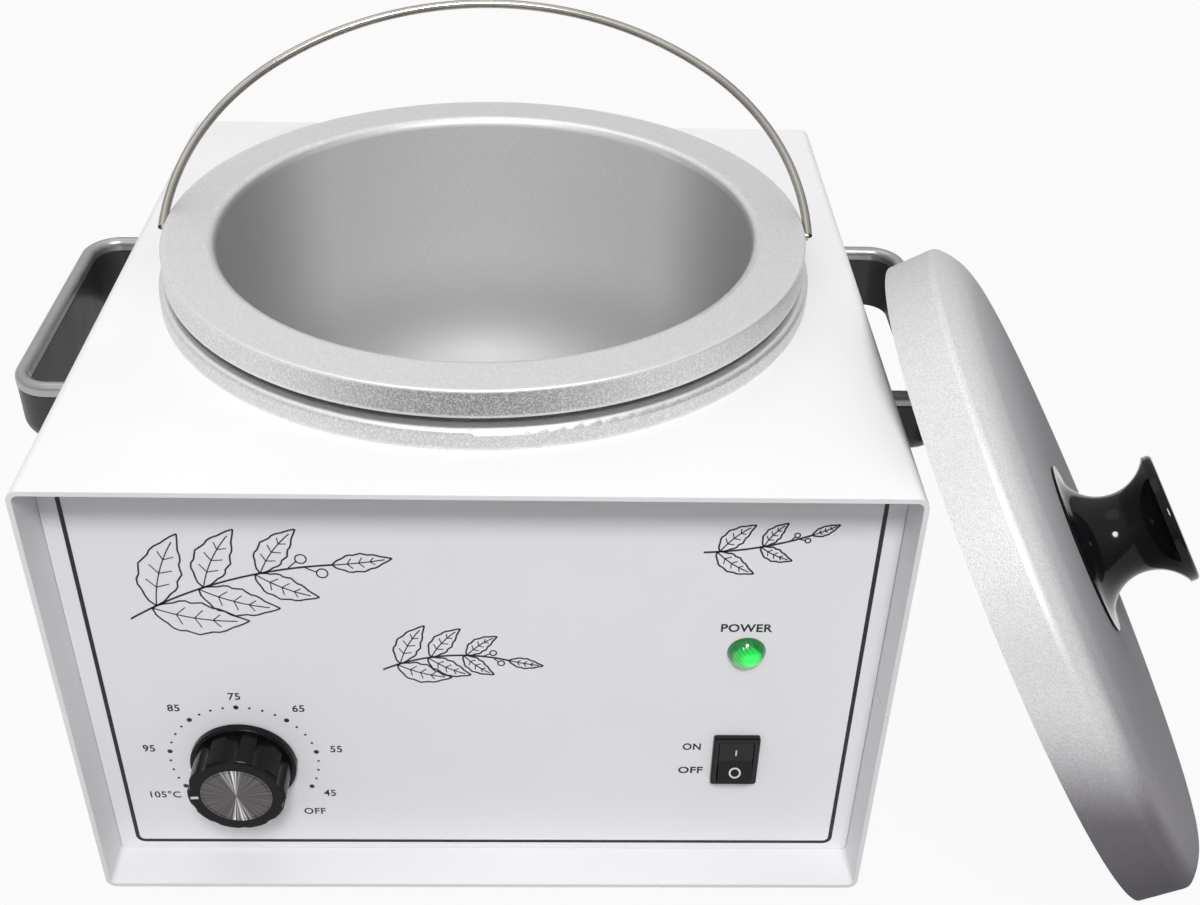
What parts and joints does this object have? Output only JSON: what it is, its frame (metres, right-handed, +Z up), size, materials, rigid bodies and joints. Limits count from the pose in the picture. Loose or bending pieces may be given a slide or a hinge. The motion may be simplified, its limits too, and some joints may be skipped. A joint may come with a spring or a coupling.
{
  "type": "wax melter",
  "caption": "Box-shaped candle wax melter: sheet housing with a dial, rocker switch and lamp, a lift-out pot with a wire bail, and a loose round lid leaning on its side.",
  "frame": {"origin": "in the plane of the feet's undersides, under the middle of the housing", "axes": "+Z up, -Y towards the front panel, +X to the right seen from the front"},
  "size_m": [0.402, 0.3056, 0.2354],
  "materials": {
    "white_enamel": "white enamel, semi-gloss",
    "zinc": "zinc plated",
    "black_nylon": "fine matt",
    "foot_rubber": "matt rubber",
    "cast_alloy": "satin cast aluminium, turned edges bright",
    "steel": "plain sheet",
    "glass_wool": "needled glass wool",
    "copper": "drawn copper",
    "ceramic": "glazed steatite",
    "green_lens": "clear green, lit",
    "charcoal_plastic": "satin moulded",
    "silver_trim": "silver lacquered",
    "black_knob": "semi-gloss moulded",
    "spun_disc": "spun, dark anodised",
    "wire": "drawn steel wire",
    "lid_steel": "satin spun aluminium",
    "black_gloss": "gloss phenolic"
  },
  "bodies": {
    "base": {"upper_cover": "white_enamel", "base_tray": "white_enamel", "front_panel": "white_enamel", "rear_panel": "white_enamel", "cover_screws": "zinc", "panel_rivets": "zinc", "cord_gland": "black_nylon", "foot_front_left": "foot_rubber", "foot_front_right": "foot_rubber", "foot_rear_left": "foot_rubber", "foot_rear_right": "foot_rubber", "foot_screws": "zinc", "heating_well": "cast_alloy", "band_heater": "steel", "band_bolt": "zinc", "wool_wrap": "glass_wool", "wool_pad": "glass_wool", "well_stand": "zinc", "stand_rivets": "zinc", "thermal_cutout": "steel", "thermostat_body": "steel", "thermostat_screws": "zinc", "sensor_bulb": "copper", "terminal_block": "ceramic", "terminal_screws": "zinc", "switch_housing": "black_nylon", "lamp_holder": "black_nylon", "lamp_nut": "black_nylon", "lamp_lens": "green_lens", "handle_left": "charcoal_plastic", "handle_right": "charcoal_plastic", "handle_bead_left": "silver_trim", "handle_bead_right": "silver_trim", "handle_screws": "zinc"},
    "dial": {"thermostat_shaft": "zinc", "thermostat_knob": "black_knob", "knob_disc": "spun_disc"},
    "rocker_body": {"rocker": "black_nylon"},
    "pot_body": {"pot": "cast_alloy"},
    "bail_body": {"bail": "wire"},
    "lid": {"lid_shell": "lid_steel", "lid_knob": "black_gloss", "lid_screw": "zinc", "lid_washer": "zinc"}
  },
  "joints": [
    {"name": "pot_lift", "type": "slide", "parent": "base", "child": "pot_body", "axis": [0, 0, 1], "range_m": [0, 0.1]},
    {"name": "bail_swing", "type": "hinge", "parent": "pot_body", "child": "bail_body", "pos_m": [-0.0009, 0.001, 0.1847], "axis": [1, 0, 0], "range_deg": [-16, 134]},
    {"name": "thermostat_turn", "type": "hinge", "parent": "base", "child": "dial", "pos_m": [-0.0772, -0.1125, 0.0517], "axis": [0, -1, 0], "range_deg": [-240, 28]},
    {"name": "rocker_tilt", "type": "hinge", "parent": "base", "child": "rocker_body", "pos_m": [0.0818, -0.1115, 0.0538], "axis": [1, 0, 0], "range_deg": [0, 18]},
    {"name": "lid_lift", "type": "slide", "parent": "base", "child": "lid", "axis": [0, 0, 1], "range_m": [0, 0.12]}
  ]
}
